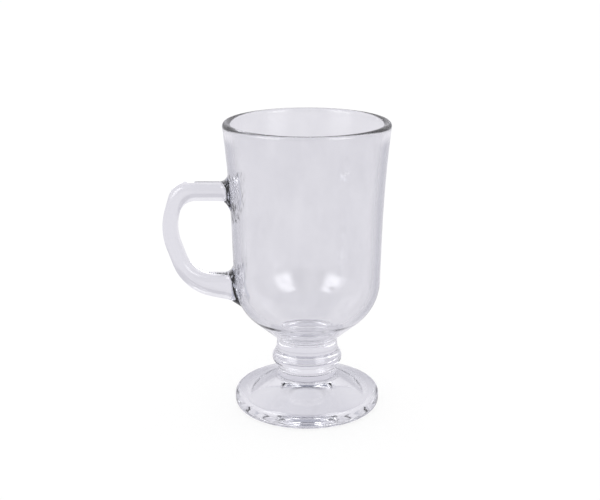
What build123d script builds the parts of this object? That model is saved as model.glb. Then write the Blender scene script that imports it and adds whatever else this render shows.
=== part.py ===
from build123d import *
from math import atan, cos, radians, sin, tan
import os

# Sizes of the mug in millimetres and degrees. The foot rests on z = 0, the axis of
# the bowl is the Z axis and the handle points along -X.
overall_height = 139.0
rim_diameter = 78.0
foot_diameter = 69.6

# Bowl
lip_thickness = 3.6
wall_thickness = 3.4
waist_diameter = 70.6
waist_height = 84.0
wall_draft = 1.5
shoulder_radius = 25.0
underside_slope = 40.0
underside_rise = 1.6
neck_fillet = 1.6
floor_thickness = 2.6
floor_round = 8.0

# Stem
bowl_weld_height = 33.0
foot_weld_height = 16.5
neck_diameter = 29.2
neck_length = 3.5
knop_diameter = 33.4
knop_shoulder_drop = 4.0
knop_side_length = 2.1
knop_taper_drop = 3.8
knop_upper_round = 1.0
knop_lower_round = 3.0
knop_fillet = 1.5
stem_diameter = 28.1

# Foot
foot_edge_height = 8.0
foot_crown_height = 14.6
foot_top_round = 3.6
foot_bottom_round = 3.6
foot_fillet = 2.2
recess_diameter = 55.0
recess_depth = 7.0

# Handle
finger_gap_depth = 25.5
finger_gap_height = 36.2
handle_drop = 33.0
handle_width = 11.0
upper_arm_thickness = 8.1
limb_thickness = 7.0
lower_root_thickness = 13.1
lower_arm_slope = 11.3
limb_bend_drop = 18.0
limb_upper_lean = 16.7
limb_lower_lean = 19.3
upper_corner_radius = 9.0
limb_bend_radius = 30.0
lower_corner_radius = 24.0
inner_upper_corner_radius = 8.0
inner_lower_corner_radius = 13.0
root_fillet = 4.0
root_flare = 3.9
root_lean = 60.0
under_root_fillet = 12.0
under_root_flare = 2.4
under_root_lean = 28.0
handle_edge_radius = 3.2

# Radii and places that follow from the sizes
rim_radius = rim_diameter / 2
waist_radius = waist_diameter / 2
neck_radius = neck_diameter / 2
stem_radius = stem_diameter / 2
foot_radius = foot_diameter / 2
lip_radius = lip_thickness / 2
draft = radians(wall_draft)
wall_rise = (sin(draft), cos(draft))
underside_angle = radians(underside_slope)
floor_height = bowl_weld_height + floor_thickness
underside_height = bowl_weld_height + underside_rise
lip_middle_radius = rim_radius - lip_radius
lip_middle_height = overall_height - lip_radius
lip_lean = 2 * atan((rim_radius - waist_radius) / (lip_middle_height - waist_height)) - draft
gap_top = overall_height - handle_drop - upper_arm_thickness / 2
gap_bottom = gap_top - finger_gap_height


def lip_point(across, along):
    # Point on the lip, across the wall (1 outside, -1 inside) and along it (1 top)
    radius = lip_middle_radius + lip_radius * (across * cos(lip_lean) + along * sin(lip_lean))
    return (radius, lip_middle_height + lip_radius * (along * cos(lip_lean) - across * sin(lip_lean)))


def shoulder_corner(start, waist):
    # Where the slope from a start point would meet the drafted wall below the waist
    run = waist[0] - start[0] - (waist[1] - start[1]) * tan(draft)
    run = run / (1 - tan(underside_angle) * tan(draft))
    return (start[0] + run, start[1] + run * tan(underside_angle))


def bowl_outside():
    # Outline from the axis at the weld, up the underside and the wall to the lip
    neck = (neck_radius, underside_height)
    waist = (waist_radius, waist_height)
    underside = FilletPolyline(
        (0, bowl_weld_height),
        (neck_radius, bowl_weld_height),
        neck,
        shoulder_corner(neck, waist),
        waist,
        radius=(0, neck_fillet, shoulder_radius),
    )
    return underside + TangentArc(waist, lip_point(1, 0), tangent=wall_rise)


def bowl_inside():
    # Outline from the axis at the floor, up the slope and the wall, as far in as the wall is thick
    neck_inside = neck_radius - wall_thickness * sin(underside_angle)
    neck = (neck_inside, underside_height + wall_thickness * cos(underside_angle))
    waist = (waist_radius - wall_thickness, waist_height)
    floor_edge = (neck[0] + (floor_height - neck[1]) / tan(underside_angle), floor_height)
    floor = FilletPolyline(
        (0, floor_height),
        floor_edge,
        shoulder_corner(neck, waist),
        waist,
        radius=(floor_round, shoulder_radius - wall_thickness),
    )
    return floor + TangentArc(waist, lip_point(-1, 0), tangent=wall_rise)


def turned(outline):
    # Solid of revolution about Z from a closed half outline
    return revolve(Plane.XZ * make_face(outline), Axis.Z)


def bowl_envelope_outline():
    # Outline of the bowl as if it were solid, to trim the handle against
    top = lip_point(1, 0)
    return bowl_outside() + Polyline(top, (0, top[1]), (0, bowl_weld_height))


def make_bowl():
    lip = ThreePointArc(lip_point(1, 0), lip_point(0, 1), lip_point(-1, 0))
    axis = Line((0, bowl_weld_height), (0, floor_height))
    return turned(bowl_outside() + lip + bowl_inside() + axis)


def make_stem():
    # Solid stem with a knop that slopes out to a short straight side and in again
    knop_radius = knop_diameter / 2
    knop_top = bowl_weld_height - neck_length
    side_top = knop_top - knop_shoulder_drop
    side_bottom = side_top - knop_side_length
    side = FilletPolyline(
        (0, bowl_weld_height),
        (neck_radius, bowl_weld_height),
        (neck_radius, knop_top),
        (knop_radius, side_top),
        (knop_radius, side_bottom),
        (stem_radius, side_bottom - knop_taper_drop),
        (stem_radius, foot_weld_height),
        (0, foot_weld_height),
        radius=(0, knop_fillet, knop_upper_round, knop_lower_round, knop_fillet, 0),
    )
    return turned(side + Line((0, foot_weld_height), (0, bowl_weld_height)))


def make_foot():
    # Sloping disc with rounded edges, a collar for the stem and a domed hollow underneath
    recess_radius = recess_diameter / 2
    top = FilletPolyline(
        (recess_radius, 0),
        (foot_radius, 0),
        (foot_radius, foot_edge_height),
        (stem_radius, foot_crown_height),
        (stem_radius, foot_weld_height),
        radius=(foot_bottom_round, foot_top_round, foot_fillet),
    )
    collar = Polyline((stem_radius, foot_weld_height), (0, foot_weld_height), (0, recess_depth))
    recess = TangentArc((0, recess_depth), (recess_radius, 0), tangent=(1, 0))
    return turned(top + collar + recess)


def wall_radius(height):
    # Outside radius of the bowl at a height
    level = Line((neck_radius / 2, height), (rim_radius + waist_radius, height))
    wall = bowl_outside().edges()
    return max(point.X for edge in wall for point in edge.find_intersection_points(level))


def limb_corners(reach, bend_radius, top_height, bottom_height, bottom_slope):
    # Where one side of the handle would turn if its corners were sharp
    upper_lean = tan(radians(limb_upper_lean))
    lower_lean = tan(radians(limb_lower_lean))
    half_turn = radians((limb_upper_lean + limb_lower_lean) / 2)
    bend = reach + bend_radius * (1 / cos(half_turn) - 1)
    bend_height = overall_height - handle_drop - limb_bend_drop
    top = bend - (top_height - bend_height) * upper_lean
    fall = bend_height - bottom_height - (bend - wall_radius(bottom_height)) * bottom_slope
    fall = fall / (1 - lower_lean * bottom_slope)
    bottom = bend - fall * lower_lean
    return [(-top, top_height), (-bend, bend_height), (-bottom, bend_height - fall)]


def root_corners(height, slope, flare, lean):
    # One side of a root: where it starts to flare, where it is well inside the wall, its end
    rise = tan(radians(lean))
    wall = wall_radius(height)
    start = wall + abs(flare / rise)
    inside = wall - wall_thickness
    start_height = height + (start - wall) * slope
    end_height = start_height + (start - inside) * rise
    return [(-start, start_height), (-inside, end_height), (-neck_radius / 2, end_height)]


def handle_outer_side():
    # Outline from the upper root over the limb to the lower root
    reach = waist_radius + finger_gap_depth + limb_thickness
    top = gap_top + upper_arm_thickness
    bottom = gap_bottom - lower_root_thickness
    slope = tan(radians(lower_arm_slope))
    upper_root = root_corners(top, 0, root_flare, root_lean)
    lower_root = root_corners(bottom, slope, under_root_flare, -under_root_lean)
    limb = limb_corners(reach, limb_bend_radius, top, bottom, slope)
    radii = (root_fillet, root_fillet, upper_corner_radius, limb_bend_radius)
    radii += (lower_corner_radius, under_root_fillet, root_fillet)
    return FilletPolyline(*upper_root[::-1], *limb, *lower_root, radius=radii)


def handle_inner_side():
    # Outline of the finger gap from the upper root to the lower root
    reach = waist_radius + finger_gap_depth
    bend_radius = limb_bend_radius - limb_thickness
    upper_root = root_corners(gap_top, 0, root_flare, -root_lean)
    lower_root = root_corners(gap_bottom, 0, root_flare, root_lean)
    limb = limb_corners(reach, bend_radius, gap_top, gap_bottom, 0)
    radii = (root_fillet, root_fillet, inner_upper_corner_radius, bend_radius)
    radii += (inner_lower_corner_radius, root_fillet, root_fillet)
    return FilletPolyline(*upper_root[::-1], *limb, *lower_root, radius=radii)


def make_handle():
    # Loop with rounded edges, trimmed so that both roots lie on the bowl's own surface
    outer = handle_outer_side()
    inner = handle_inner_side()
    outline = make_face(outer + inner + Line(outer @ 0, inner @ 0) + Line(outer @ 1, inner @ 1))
    loop = extrude(Plane.XZ * outline, handle_width / 2, both=True)
    rims = loop.faces().filter_by(Axis.Y).edges()
    return fillet(rims, handle_edge_radius) - turned(bowl_envelope_outline())


os.makedirs("parts", exist_ok=True)
export_step(make_bowl(), "parts/bowl.step")
export_step(make_stem(), "parts/stem.step")
export_step(make_foot(), "parts/foot.step")
export_step(make_handle(), "parts/handle.step")
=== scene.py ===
import math

import bmesh
import bpy
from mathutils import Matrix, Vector


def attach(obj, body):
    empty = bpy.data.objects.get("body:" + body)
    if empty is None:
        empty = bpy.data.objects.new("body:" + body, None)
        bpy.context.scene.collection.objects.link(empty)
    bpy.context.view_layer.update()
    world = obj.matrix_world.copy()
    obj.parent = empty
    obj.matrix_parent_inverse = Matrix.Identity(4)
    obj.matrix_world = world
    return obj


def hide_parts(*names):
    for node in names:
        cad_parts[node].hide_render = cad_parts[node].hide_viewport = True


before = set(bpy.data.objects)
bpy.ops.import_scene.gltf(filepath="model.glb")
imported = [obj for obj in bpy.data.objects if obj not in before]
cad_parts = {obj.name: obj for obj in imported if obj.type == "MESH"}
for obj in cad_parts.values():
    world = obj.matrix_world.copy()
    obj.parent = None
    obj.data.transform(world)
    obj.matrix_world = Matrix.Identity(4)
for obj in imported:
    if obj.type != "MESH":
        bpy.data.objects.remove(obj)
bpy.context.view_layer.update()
scene = bpy.context.scene
scene.view_settings.view_transform = "Standard"
scene.cycles.max_bounces = 24  # the dark lines in thick glass depend on these
scene.cycles.glossy_bounces = 10
scene.cycles.transmission_bounces = 24
scene.cycles.transparent_max_bounces = 24  # light passes many weld faces
mm = 0.001
mergeGap = 0.001 * mm  # vertices closer than this become one
sameGap = 0.01 * mm  # places closer than this count as one
print("frame loaded:", ", ".join(sorted(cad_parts)))


def freshNodes(owner):
    # the node tree of a material, a world or a lamp, emptied
    owner.use_nodes = True
    owner.node_tree.nodes.clear()
    return owner.node_tree


def addNode(tree, kind, inputs=None, **settings):
    # a node with its settings, where each input takes a value or another node's output
    node = tree.nodes.new(kind)
    for name, value in settings.items():
        setattr(node, name, value)
    for name, value in (inputs or {}).items():
        if isinstance(value, bpy.types.NodeSocket):
            tree.links.new(value, node.inputs[name])
        else:
            node.inputs[name].default_value = value
    return node


def addMath(tree, operation, *feeds, **settings):
    inputs = dict(enumerate(feeds))
    return addNode(tree, "ShaderNodeMath", inputs, operation=operation, **settings).outputs[0]


def farFrom(tree, value, middle):
    # how far a value is from a middle, on either side
    return addMath(tree, "ABSOLUTE", addMath(tree, "SUBTRACT", value, middle))


def remap(tree, value, edges, ends, **settings):
    # from the first end to the second, while the value goes from edge to edge
    return addNode(tree, "ShaderNodeMapRange", {
        "Value": value, "From Min": edges[0], "From Max": edges[1], "To Min": ends[0], "To Max": ends[1],
    }, **settings).outputs["Result"]


def softStep(tree, value, edges):
    # 0 before the first edge, 1 after the second
    return remap(tree, value, edges, (0, 1), interpolation_type="SMOOTHSTEP")


def blend(tree, mask, under, over, **settings):
    # one colour laid over another, where the mask is 1
    inputs = {"Factor": mask, "A": under, "B": over}
    return addNode(tree, "ShaderNodeMix", inputs, data_type="RGBA", **settings).outputs["Result"]


# camera at the photograph's angle
cameraSet = {
    "place": (0.0, -0.555, 0.240),
    "down": 16.33,
    "lens": 73.32,
    "sensor": 36,
    "shift": -7 / 600,  # seven pixels of the picture's width
}
bpy.ops.object.select_all(action="DESELECT")
bpy.ops.object.camera_add(location=cameraSet["place"])
camera = bpy.context.object
camera.rotation_euler = (math.radians(90 - cameraSet["down"]), 0, 0)
camera.data.sensor_width = cameraSet["sensor"]
camera.data.lens = cameraSet["lens"]
camera.data.shift_x = cameraSet["shift"]
scene.camera = camera
print("camera placed")


# pale studio: white for the camera, a soft grey tent for what the glass shows
tentSet = {
    "low": (0.85, 0.84, 0.885, 1),  # below the horizon
    "skirt": (0.72, 0.71, 0.76, 1),  # round the horizon
    "skirtEdges": (-0.16, -0.06),
    "upper": (0.95, 0.94, 0.98, 1),
    "upperEdges": (0.12, 0.24),
    "ceiling": (0.30, 0.32, 0.41, 1),
    "ceilingEdges": (0.64, 0.86),
    "room": (0.05, 0.05, 0.09, 1),  # the dim room behind the camera
    "roomEdges": (-0.25, -0.55),
    "roomRise": (0.02, 0.14),
    "white": (1, 1, 1, 1),
}


def makeWorld(setting):
    world = bpy.data.worlds.new("studioTent")
    scene.world = world
    tree = freshNodes(world)
    place = addNode(tree, "ShaderNodeTexCoord").outputs
    axes = addNode(tree, "ShaderNodeSeparateXYZ", {"Vector": place["Generated"]}).outputs
    tent = setting["low"]
    for band in ("skirt", "upper", "ceiling"):
        rise = softStep(tree, axes["Z"], setting[band + "Edges"])
        tent = blend(tree, rise, tent, setting[band])
    behind = softStep(tree, axes["Y"], setting["roomEdges"])
    above = softStep(tree, axes["Z"], setting["roomRise"])
    tent = blend(tree, addMath(tree, "MULTIPLY", behind, above), tent, setting["room"])
    # the camera and the floor see plain white
    path = addNode(tree, "ShaderNodeLightPath").outputs
    plain = addMath(tree, "MAXIMUM", path["Is Camera Ray"], path["Is Diffuse Ray"])
    shown = blend(tree, plain, tent, setting["white"])
    sky = addNode(tree, "ShaderNodeBackground", {"Color": shown})
    addNode(tree, "ShaderNodeOutputWorld", {"Surface": sky.outputs[0]})


floorSet = {"size": 14, "drop": 0.05 * mm, "glow": 0.84, "paint": (0.18, 0.18, 0.18, 1)}


def makeFloor(setting):
    bpy.ops.object.select_all(action="DESELECT")
    bpy.ops.mesh.primitive_plane_add(size=setting["size"], location=(0, 0, -setting["drop"]))
    floor = bpy.context.object
    floor.name = "studioFloor"
    paint = bpy.data.materials.new("paleFloor")
    tree = freshNodes(paint)
    path = addNode(tree, "ShaderNodeLightPath").outputs
    strength = addMath(tree, "MULTIPLY", path["Is Camera Ray"], setting["glow"])
    glow = addNode(tree, "ShaderNodeEmission", {"Strength": strength})
    matt = addNode(tree, "ShaderNodeBsdfDiffuse", {"Color": setting["paint"]})
    lit = addNode(tree, "ShaderNodeAddShader", {0: glow.outputs[0], 1: matt.outputs[0]})
    # what the glass shows of the floor is the tent round it
    glassy = addMath(tree, "MAXIMUM", path["Is Glossy Ray"], path["Is Transmission Ray"])
    clear = addNode(tree, "ShaderNodeBsdfTransparent")
    either = addNode(tree, "ShaderNodeMixShader", {0: glassy, 1: lit.outputs[0], 2: clear.outputs[0]})
    addNode(tree, "ShaderNodeOutputMaterial", {"Surface": either.outputs[0]})
    floor.data.materials.append(paint)


lampSet = [  # soft panels: turn from the camera side, height of the middle, width, height, power
    {"name": "leftPanel", "turn": -55, "high": 0.78, "wide": 0.75, "tall": 1.44, "power": 17.0},
    {"name": "rightPanel", "turn": 48, "high": 0.78, "wide": 0.70, "tall": 1.44, "power": 15.5},
]
clothSet = {
    "away": 0.8,  # how far off the panels stand
    "half": 0.5,  # half a side, so the place of the middle and the way from there to the edge
    "X": 0.16,  # how far the full light goes from the middle
    "Y": 0.25,
}


def addPanel(setting, cloth):
    turn = math.radians(setting["turn"])
    spot = (cloth["away"] * math.sin(turn), -cloth["away"] * math.cos(turn), setting["high"])
    bpy.ops.object.select_all(action="DESELECT")
    bpy.ops.object.light_add(type="AREA", location=spot)
    lamp = bpy.context.object
    lamp.name = setting["name"]
    lamp.rotation_euler = (math.radians(90), 0, turn)
    lamp.data.shape = "RECTANGLE"
    lamp.data.size, lamp.data.size_y = setting["wide"], setting["tall"]
    lamp.data.energy = setting["power"]
    lamp.visible_diffuse = False
    # the cloth in front of the lamp fades towards its edges
    tree = freshNodes(lamp.data)
    place = addNode(tree, "ShaderNodeNewGeometry").outputs
    axes = addNode(tree, "ShaderNodeSeparateXYZ", {"Vector": place["Parametric"]}).outputs
    fades = [softStep(tree, farFrom(tree, axes[axis], cloth["half"]), (cloth["half"], cloth[axis]))
             for axis in ("X", "Y")]
    glow = addNode(tree, "ShaderNodeEmission", {"Strength": addMath(tree, "MULTIPLY", *fades)})
    addNode(tree, "ShaderNodeOutputLight", {"Surface": glow.outputs[0]})


makeWorld(tentSet)
makeFloor(floorSet)
for lampSetting in lampSet:
    addPanel(lampSetting, clothSet)
print("studio lit")


def startPiece(name):
    # a piece that is one vertex at the origin, in edit mode
    bpy.ops.object.select_all(action="DESELECT")
    bpy.ops.mesh.primitive_plane_add(size=mm)
    piece = bpy.context.object
    piece.name = piece.data.name = name
    bpy.ops.object.mode_set(mode="EDIT")
    bpy.ops.mesh.merge(type="CENTER")
    return piece


def arcSteps(turn):
    # one face for about every 3 degrees of a corner, from 6 to 24 of them
    return max(6, min(24, math.ceil(math.degrees(turn) / 3)))


def drawOutline(corners, steps=None):
    # pull the vertex from corner to corner, and swing it round those that have a radius
    points = [Vector((across, 0, up)) * mm for across, up, radius in corners]
    here = Vector((0, 0, 0))
    for index, corner in enumerate(points):
        radius = corners[index][2] * mm
        there = corner
        if radius:
            inward = (corner - points[index - 1]).normalized()
            outward = (points[index + 1] - corner).normalized()
            turn = inward.angle(outward)
            there = corner - inward * radius * math.tan(turn / 2)
        if index == 0:
            bpy.ops.transform.translate(value=there)
        elif (there - here).length > mergeGap:
            bpy.ops.mesh.extrude_region_move(TRANSFORM_OT_translate={"value": there - here})
        here = there
        if radius:
            axle = outward.cross(inward).normalized()
            middle = there + inward.cross(axle) * radius
            bpy.ops.mesh.spin(steps=steps or arcSteps(turn), angle=turn, center=middle, axis=axle)
            here = corner + outward * radius * math.tan(turn / 2)


turnSteps = 192  # faces round each turned piece


def turnPiece(name, corners):
    # a closed piece turned round Z from half its outline
    piece = startPiece(name)
    drawOutline(corners)
    bpy.ops.mesh.select_all(action="SELECT")
    bpy.ops.mesh.spin(steps=turnSteps, angle=2 * math.pi, center=(0, 0, 0), axis=(0, 0, 1))
    bpy.ops.mesh.select_all(action="SELECT")
    bpy.ops.mesh.remove_doubles(threshold=mergeGap)
    bpy.ops.mesh.normals_make_consistent(inside=False)
    bpy.ops.object.mode_set(mode="OBJECT")
    return piece


# half outlines: distance from the axis, height, radius of the corner; and the heights of the welds
bowlSet = {
    "outline": [
        (0, 33, 0), (14.6, 33, 0), (14.6, 34.6, 1.6), (34.44, 51.25, 25), (36.0, 110.58, 600),
        (39.19, 138.79, 1.8), (35.61, 139.19, 1.8), (32.6, 110.77, 660), (31.08, 52.87, 21.6),
        (10.5, 35.6, 8), (0, 35.6, 0),
    ],
    "welds": (33.0,),
}
stemSet = {
    "outline": [
        (0, 33, 0), (14.6, 33, 0), (14.6, 29.5, 6), (16.7, 25.5, 4), (16.7, 23.4, 3),
        (14.05, 19.6, 4), (14.05, 16.5, 0), (0, 16.5, 0),
    ],
    "welds": (33.0, 16.5),
}
footSet = {
    "outline": [
        (0, 7, 0), (14.5, 7, 55), (27.5, 0, 0), (34.8, 0, 3.6), (34.8, 8, 3.6),
        (14.05, 14.6, 2.2), (14.05, 16.5, 0), (0, 16.5, 0),
    ],
    "welds": (16.5,),
}
bowl = turnPiece("glassBowl", bowlSet["outline"])
stem = turnPiece("glassStem", stemSet["outline"])
foot = turnPiece("glassFoot", footSet["outline"])
print("turned pieces:", [len(piece.data.polygons) for piece in (bowl, stem, foot)])


# side outlines of the loop, from the upper root to the lower one, ending inside the wall
handleSet = {
    "outer": [
        (-35.4, 115.92, 0), (-38.79, 110.05, 4), (-62.73, 110.05, 9), (-69.34, 88, 30),
        (-58.81, 57.92, 24), (-36.94, 53.55, 12), (-29.4, 49.54, 0),
    ],
    "inner": [
        (-34.6, 95.57, 0), (-38.28, 101.95, 4), (-57.8, 101.95, 8), (-61.98, 88, 23),
        (-54.19, 65.75, 13), (-37.07, 65.75, 4), (-33.6, 71.76, 0),
    ],
    "cornerSteps": 8,
    "width": 11.0,
    "edge": 3.2,
    "edgeSteps": 7,
    "flatTilt": 0.9,  # a flat side faces at least this much along Y
    "loopTilt": 0.1,  # and the loop's own surface at most this much
    "rootSpan": 30.0,  # each root is shorter than this
    "flare": 1.55,
    "flareReach": 6.0,
}


def makeHandle(setting):
    piece = startPiece("glassHandle")
    drawOutline(setting["outer"], steps=setting["cornerSteps"])
    bpy.ops.mesh.select_all(action="DESELECT")
    bpy.ops.mesh.primitive_plane_add(size=mm)
    bpy.ops.mesh.merge(type="CENTER")
    drawOutline(setting["inner"], steps=setting["cornerSteps"])
    # one strip between the two outlines, as thick as the handle is wide
    bpy.ops.mesh.select_mode(type="EDGE")
    bpy.ops.mesh.select_all(action="SELECT")
    bpy.ops.mesh.bridge_edge_loops()
    bpy.ops.mesh.select_all(action="SELECT")
    bpy.ops.transform.translate(value=(0, -setting["width"] / 2 * mm, 0))
    bpy.ops.mesh.extrude_region_move(TRANSFORM_OT_translate={"value": (0, setting["width"] * mm, 0)})
    bpy.ops.mesh.select_all(action="SELECT")
    bpy.ops.mesh.normals_make_consistent(inside=False)
    # round the four long edges, and leave the ends open to the wall
    ends = [Vector((side[index][0], side[index][1])) * mm
            for side in (setting["outer"], setting["inner"]) for index in (0, -1)]

    def atEnd(vert):
        return any((Vector((vert.co.x, vert.co.z)) - end).length < sameGap for end in ends)

    bpy.ops.mesh.select_all(action="DESELECT")
    mesh = bmesh.from_edit_mesh(piece.data)
    for edge in mesh.edges:
        tilts = sorted(abs(face.normal.y) for face in edge.link_faces)
        rim = len(tilts) == 2 and tilts[0] < setting["loopTilt"] and tilts[1] > setting["flatTilt"]
        edge.select = rim and not all(atEnd(vert) for vert in edge.verts)
    bmesh.update_edit_mesh(piece.data)
    bpy.ops.mesh.bevel(
        offset=setting["edge"] * mm, segments=setting["edgeSteps"], affect="EDGES", clamp_overlap=False,
    )
    # widen both roots sideways as well, most where they meet the wall
    bpy.ops.mesh.select_mode(type="VERT")
    bpy.ops.mesh.select_all(action="DESELECT")
    mesh = bmesh.from_edit_mesh(piece.data)
    for outerEnd, innerEnd in ((ends[0], ends[2]), (ends[1], ends[3])):
        across = (innerEnd - outerEnd).normalized()
        for vert in mesh.verts:
            offset = Vector((vert.co.x, vert.co.z)) - outerEnd
            if abs(offset.cross(across)) < sameGap and offset.length < setting["rootSpan"] * mm:
                vert.select = True
    bmesh.update_edit_mesh(piece.data)
    bpy.ops.transform.resize(
        value=(1, setting["flare"], 1), center_override=(0, 0, 0), use_proportional_edit=True,
        proportional_edit_falloff="SHARP", proportional_size=setting["flareReach"] * mm,
    )
    bpy.ops.object.mode_set(mode="OBJECT")
    return piece


handle = makeHandle(handleSet)
print("handle:", len(handle.data.polygons))


# pressed glass: what each piece may set, and the values it has otherwise
glassInputs = {
    "Tint": (1.0, 1.0, 1.0, 1),
    "Streak": (0.90, 0.90, 0.91, 1),
    # the colour of the painted shade at the handle's roots
    "Seam": (0.52, 0.54, 0.64, 1),
    "Root Shade Start": 50 * mm,  # beyond the wall, so there is no painted root shade
    "Root Shade End": 51 * mm,
    "Edge Low": -1.0,
    "Edge High": 1.0,
    "Ripple Size": 60.0,
    "Ripple Depth": 0.02 * mm,
    "Weld Depth": 0.0,
    "Gloss Low": 0.0,
    "Gloss High": 0.02,
    "Wear Height": 0.0,
    "Wear Reach": 2 * mm,
    "Wear Low": 0.0,
    "Wear High": 0.1,
}
glassOutputs = {
    "Tint": "NodeSocketColor", "Edge": "NodeSocketFloat",
    "Roughness": "NodeSocketFloat", "Normal": "NodeSocketVector",
}
pressedSet = {
    "puckerEdges": (-31 * mm, -34 * mm),  # puckers show on the handle's side alone
    "rootHeights": (104 * mm, 62 * mm),
    "rootReach": 13 * mm,
    "cloudScale": (0.8, 0.8, 0.5),  # longer along the axis
    "wallLean": 0.045,  # how far the wall leans out as it rises
    "edgeFade": {"Edge Low": 14 * mm, "Edge High": -5 * mm},
    "hazeEdges": (0.35, 0.75),
    "scratchEdges": (0.45, 0.7),
}


def addNoise(group, vector, scale, detail, roughness=0.5):
    inputs = {"Vector": vector, "Scale": scale, "Detail": detail, "Roughness": roughness}
    return addNode(group, "ShaderNodeTexNoise", inputs).outputs["Fac"]


def addWaves(group, setting, entry, place, axes):
    # soft waves from the mould
    ripple = addNoise(group, place["Object"], entry["Ripple Size"], detail=1.0, roughness=0.4)
    waves = addNode(group, "ShaderNodeBump", {"Height": ripple, "Distance": entry["Ripple Depth"]})
    # puckered glass on the handle's side, at the heights of its two roots
    reach = setting["rootReach"]
    bands = [softStep(group, farFrom(group, axes["Z"], height), (reach, reach / 2))
             for height in setting["rootHeights"]]
    near = addMath(group, "ADD", *bands, use_clamp=True)
    patch = addMath(group, "MULTIPLY", softStep(group, axes["X"], setting["puckerEdges"]), near)
    puckers = addNode(group, "ShaderNodeBump", {
        "Height": addNoise(group, place["Object"], scale=330.0, detail=2.0),
        "Distance": addMath(group, "MULTIPLY", patch, entry["Weld Depth"]),
        "Normal": waves.outputs["Normal"],
    })
    return puckers.outputs["Normal"]


def addTintAndRootShade(group, setting, entry, place, axes):
    # clouds and streaks of slightly deeper glass
    stretch = addNode(group, "ShaderNodeMapping", {
        "Vector": place["Object"], "Scale": setting["cloudScale"],
    })
    clouds = addNoise(group, stretch.outputs["Vector"], scale=110.0, detail=5.0, roughness=0.6)
    tint = blend(group, clouds, entry["Tint"], entry["Streak"])
    # painted shade at the handle's roots: the glass is coloured darker near the wall, along a line that
    # leans out as it rises
    wallSide = addMath(group, "MULTIPLY_ADD", axes["Z"], setting["wallLean"], axes["X"])
    rootShade = softStep(group, wallSide, (entry["Root Shade Start"], entry["Root Shade End"]))
    return blend(group, rootShade, tint, entry["Seam"])


def addEdgeShade(group, setting, entry, place, axes):
    # painted shade: the heights between which a wall seen edge on is painted darker
    spans = []
    for bound, fade in setting["edgeFade"].items():
        far = addMath(group, "ADD", entry[bound], fade)
        spans.append(softStep(group, axes["Z"], (entry[bound], far)))
    # and only on the side that faces away from the axis
    level = addNode(group, "ShaderNodeVectorMath", {
        0: place["Object"], 1: (1, 1, 0),
    }, operation="MULTIPLY")
    lean = addNode(group, "ShaderNodeVectorMath", {
        0: level.outputs[0], 1: place["Normal"],
    }, operation="DOT_PRODUCT")
    outside = addMath(group, "GREATER_THAN", lean.outputs["Value"], 0.0)
    return addMath(group, "MULTIPLY", addMath(group, "MULTIPLY", *spans), outside)


def addGloss(group, setting, entry, place, axes):
    # uneven gloss, and fine scratches near the wear height
    haze = addNoise(group, place["Object"], scale=90.0, detail=3.0)
    gloss = remap(group, haze, setting["hazeEdges"], (entry["Gloss Low"], entry["Gloss High"]))
    scratch = addNoise(group, place["Object"], scale=700.0, detail=4.0)
    rub = remap(group, scratch, setting["scratchEdges"], (entry["Wear Low"], entry["Wear High"]))
    close = softStep(group, farFrom(group, axes["Z"], entry["Wear Height"]), (entry["Wear Reach"], 0))
    return addMath(group, "ADD", gloss, addMath(group, "MULTIPLY", rub, close))


def makePressedGlass(setting):
    group = bpy.data.node_groups.new("pressedGlass", "ShaderNodeTree")
    for name, value in glassInputs.items():
        kind = "NodeSocketColor" if isinstance(value, tuple) else "NodeSocketFloat"
        group.interface.new_socket(name, in_out="INPUT", socket_type=kind).default_value = value
    for name, kind in glassOutputs.items():
        group.interface.new_socket(name, in_out="OUTPUT", socket_type=kind)
    entry = addNode(group, "NodeGroupInput").outputs
    place = addNode(group, "ShaderNodeTexCoord").outputs
    axes = addNode(group, "ShaderNodeSeparateXYZ", {"Vector": place["Object"]}).outputs
    addNode(group, "NodeGroupOutput", {
        "Tint": addTintAndRootShade(group, setting, entry, place, axes),
        "Edge": addEdgeShade(group, setting, entry, place, axes),
        "Roughness": addGloss(group, setting, entry, place, axes),
        "Normal": addWaves(group, setting, entry, place, axes),
    })
    return group


pressedGlass = makePressedGlass(pressedSet)
clearSet = {"IOR": 1.51, "Transmission Weight": 1.0}
# the colour of the painted shade on walls seen edge on
edgeShadeColor = (0.06, 0.07, 0.14, 1)
weldColor = (0.95, 0.95, 0.965, 1)


def makeGlass(name, deep, edge, slope, detail):
    # deep is the colour that a centimetre of glass leaves, edge how dark the painted shade on a wall seen
    # edge on gets, and slope the slants where that starts and is full
    glass = bpy.data.materials.new(name)
    tree = freshNodes(glass)
    pressed = addNode(tree, "ShaderNodeGroup", detail, node_tree=pressedGlass).outputs
    # light that leaves the glass is dimmer for each centimetre of its way through it
    path = addNode(tree, "ShaderNodeLightPath").outputs
    side = addNode(tree, "ShaderNodeNewGeometry").outputs
    way = addMath(tree, "MULTIPLY", path["Ray Length"], side["Backfacing"])
    centimetres = addMath(tree, "MULTIPLY", way, 100)
    depth = addNode(tree, "ShaderNodeGamma", {"Color": deep, "Gamma": centimetres})
    dimmed = blend(tree, 1, pressed["Tint"], depth.outputs[0], blend_type="MULTIPLY")
    # and a wall seen edge on is painted a little darker, a painted shade in the base colour
    slant = addNode(tree, "ShaderNodeLayerWeight").outputs
    spread = addMath(tree, "MULTIPLY", softStep(tree, slant["Facing"], slope), pressed["Edge"])
    edgeShaded = blend(tree, addMath(tree, "MULTIPLY", spread, edge), dimmed, edgeShadeColor)
    surface = addNode(tree, "ShaderNodeBsdfPrincipled", {
        **clearSet, "Base Color": edgeShaded, "Roughness": pressed["Roughness"], "Normal": pressed["Normal"],
    })
    addNode(tree, "ShaderNodeOutputMaterial", {"Surface": surface.outputs[0]})
    return glass


def makeWeldClear():
    # the faces inside a weld, where glass runs on into glass and nothing shows
    clear = bpy.data.materials.new("weldClear")
    tree = freshNodes(clear)
    surface = addNode(tree, "ShaderNodeBsdfPrincipled", {**clearSet, "Base Color": weldColor, "Alpha": 0.0})
    addNode(tree, "ShaderNodeOutputMaterial", {"Surface": surface.outputs[0]})
    return clear


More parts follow.
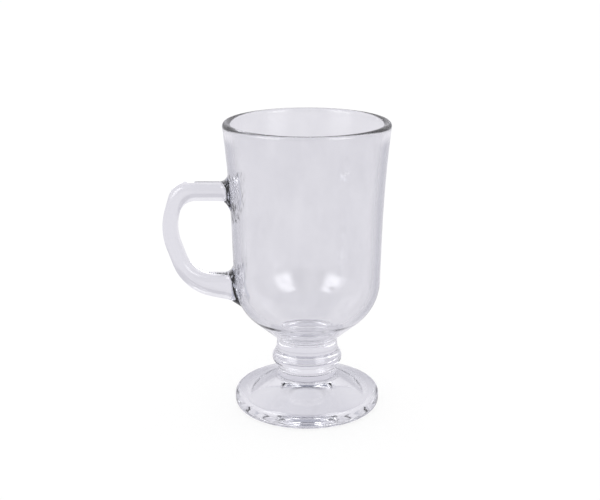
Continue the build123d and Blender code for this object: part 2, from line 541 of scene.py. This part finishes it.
glassOf = {
    bowl: makeGlass("bowlGlass", deep=(0.90, 0.90, 0.92, 1), edge=0.64, slope=(0.42, 0.72), detail={
        "Streak": (0.855, 0.855, 0.87, 1), "Ripple Depth": 0.05 * mm, "Weld Depth": 0.8 * mm,
        "Edge Low": 40 * mm, "Edge High": 135 * mm,
        "Wear Height": 139 * mm, "Wear Reach": 5 * mm, "Wear Low": 0.20, "Wear High": 0.28,
    }),
    stem: makeGlass("stemGlass", deep=(0.955, 0.955, 0.97, 1), edge=0.08, slope=(0.48, 0.64), detail={
        "Wear High": 0.0,
    }),
    foot: makeGlass("footGlass", deep=(0.93, 0.93, 0.945, 1), edge=0.46, slope=(0.46, 0.70), detail={
        "Tint": (0.97, 0.97, 0.985, 1), "Streak": (0.78, 0.78, 0.80, 1), "Wear High": 0.12,
    }),
    handle: makeGlass("handleGlass", deep=(0.87, 0.87, 0.90, 1), edge=0.05, slope=(0.48, 0.64), detail={
        "Ripple Size": 90.0, "Ripple Depth": 0.08 * mm, "Gloss Low": 0.04, "Gloss High": 0.10,
        # the handle carries the painted shade at its roots
        "Wear High": 0.0, "Root Shade Start": -33.8 * mm, "Root Shade End": -31.3 * mm,
    }),
}
weldClear = makeWeldClear()
for piece, glass in glassOf.items():
    piece.data.materials.append(glass)
    piece.data.materials.append(weldClear)


def clearWelds(piece, heights, levelTilt=0.99):
    # the flat discs where a turned piece meets the next one
    for face in piece.data.polygons:
        level = abs(face.normal.z) > levelTilt
        if level and any(abs(face.center.z - height * mm) < sameGap for height in heights):
            face.material_index = 1


def takeUp(*pieces):
    # select these objects alone, the last one active
    bpy.ops.object.select_all(action="DESELECT")
    for piece in pieces:
        piece.select_set(True)
    bpy.context.view_layer.objects.active = pieces[-1]


def closeUp(piece, parts, name):
    # join the parts to the piece along their shared edges
    takeUp(*parts, piece)
    bpy.ops.object.join()
    bpy.ops.object.mode_set(mode="EDIT")
    bpy.ops.mesh.select_all(action="SELECT")
    bpy.ops.mesh.remove_doubles(threshold=2 * mergeGap)
    bpy.ops.object.mode_set(mode="OBJECT")
    piece.name = piece.data.name = name
    return piece


partSet = {"bowlWidth": 60 * mm, "handleReach": 25 * mm}  # only the bowl and the handle are larger


def weldRoots(bowl, handle, weld, setting):
    # cut both pieces along the line where they meet, with every side loose
    names = bowl.name, handle.name
    glass = handle.data.materials[0]
    takeUp(handle, bowl)
    bpy.ops.object.join()
    bpy.ops.object.mode_set(mode="EDIT")
    bpy.ops.mesh.select_mode(type="FACE")
    bpy.ops.mesh.select_all(action="DESELECT")
    mesh = bmesh.from_edit_mesh(bowl.data)
    for face in mesh.faces:
        face.select = bowl.data.materials[face.material_index] == glass
    bmesh.update_edit_mesh(bowl.data)
    bpy.ops.mesh.intersect(mode="SELECT_UNSELECT", separate_mode="ALL", solver="EXACT")
    bpy.ops.mesh.separate(type="LOOSE")
    bpy.ops.object.mode_set(mode="OBJECT")
    # the roots inside the wall go, and the wall's patches close both pieces
    patches, hidden = [], []
    for part in list(bpy.context.selected_objects):
        facing = sum((face.normal * face.area for face in part.data.polygons), Vector())
        if part.dimensions.y > setting["bowlWidth"]:
            bowl = part
        elif part.dimensions.x > setting["handleReach"]:
            handle = part
        else:
            (patches if facing.x < 0 else hidden).append(part)
    for part in hidden:
        bpy.data.objects.remove(part)
    backs = []
    for patch in patches:
        patch.data.materials.clear()
        patch.data.materials.append(weld)
        back = patch.copy()
        back.data = patch.data.copy()
        scene.collection.objects.link(back)
        back.data.flip_normals()
        backs.append(back)
    print("weld patches:", len(patches), "hidden ends:", len(hidden))
    return closeUp(bowl, patches, names[0]), closeUp(handle, backs, names[1])


clearWelds(bowl, bowlSet["welds"])
clearWelds(stem, stemSet["welds"])
clearWelds(foot, footSet["welds"])
bowl, handle = weldRoots(bowl, handle, weldClear, partSet)
smoothAngle = math.radians(40)
for piece in (bowl, stem, foot, handle):
    takeUp(piece)
    bpy.ops.object.shade_smooth_by_angle(angle=smoothAngle)
    bpy.ops.object.material_slot_remove_unused()
print("glass made")

for piece in (bowl, stem, foot, handle):
    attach(piece, "root")
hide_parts("bowl")
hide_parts("stem")
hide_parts("foot")
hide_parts("handle")
